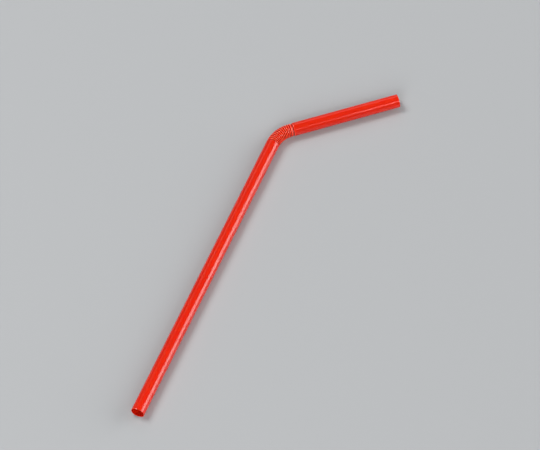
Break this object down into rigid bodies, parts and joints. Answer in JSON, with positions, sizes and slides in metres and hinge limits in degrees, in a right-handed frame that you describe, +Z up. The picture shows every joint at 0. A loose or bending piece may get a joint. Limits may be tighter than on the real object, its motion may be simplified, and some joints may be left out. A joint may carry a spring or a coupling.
{
  "type": "flexible drinking straw",
  "caption": "Bent flexible drinking straw: thin open tube with a pleated bellows between its long lower tube and short mouthpiece, lying on its side.",
  "frame": {"origin": "on the surface that the straw lies on, under the middle of its bounding box", "axes": "+Y along the lower tube towards the bellows, +X to the side that the mouthpiece turns to, +Z up from the surface"},
  "size_m": [0.0476, 0.1942, 0.006],
  "materials": {
    "straw_plastic": "semi-gloss red polypropylene"
  },
  "bodies": {
    "root": {"straw": "straw_plastic"}
  },
  "joints": []
}
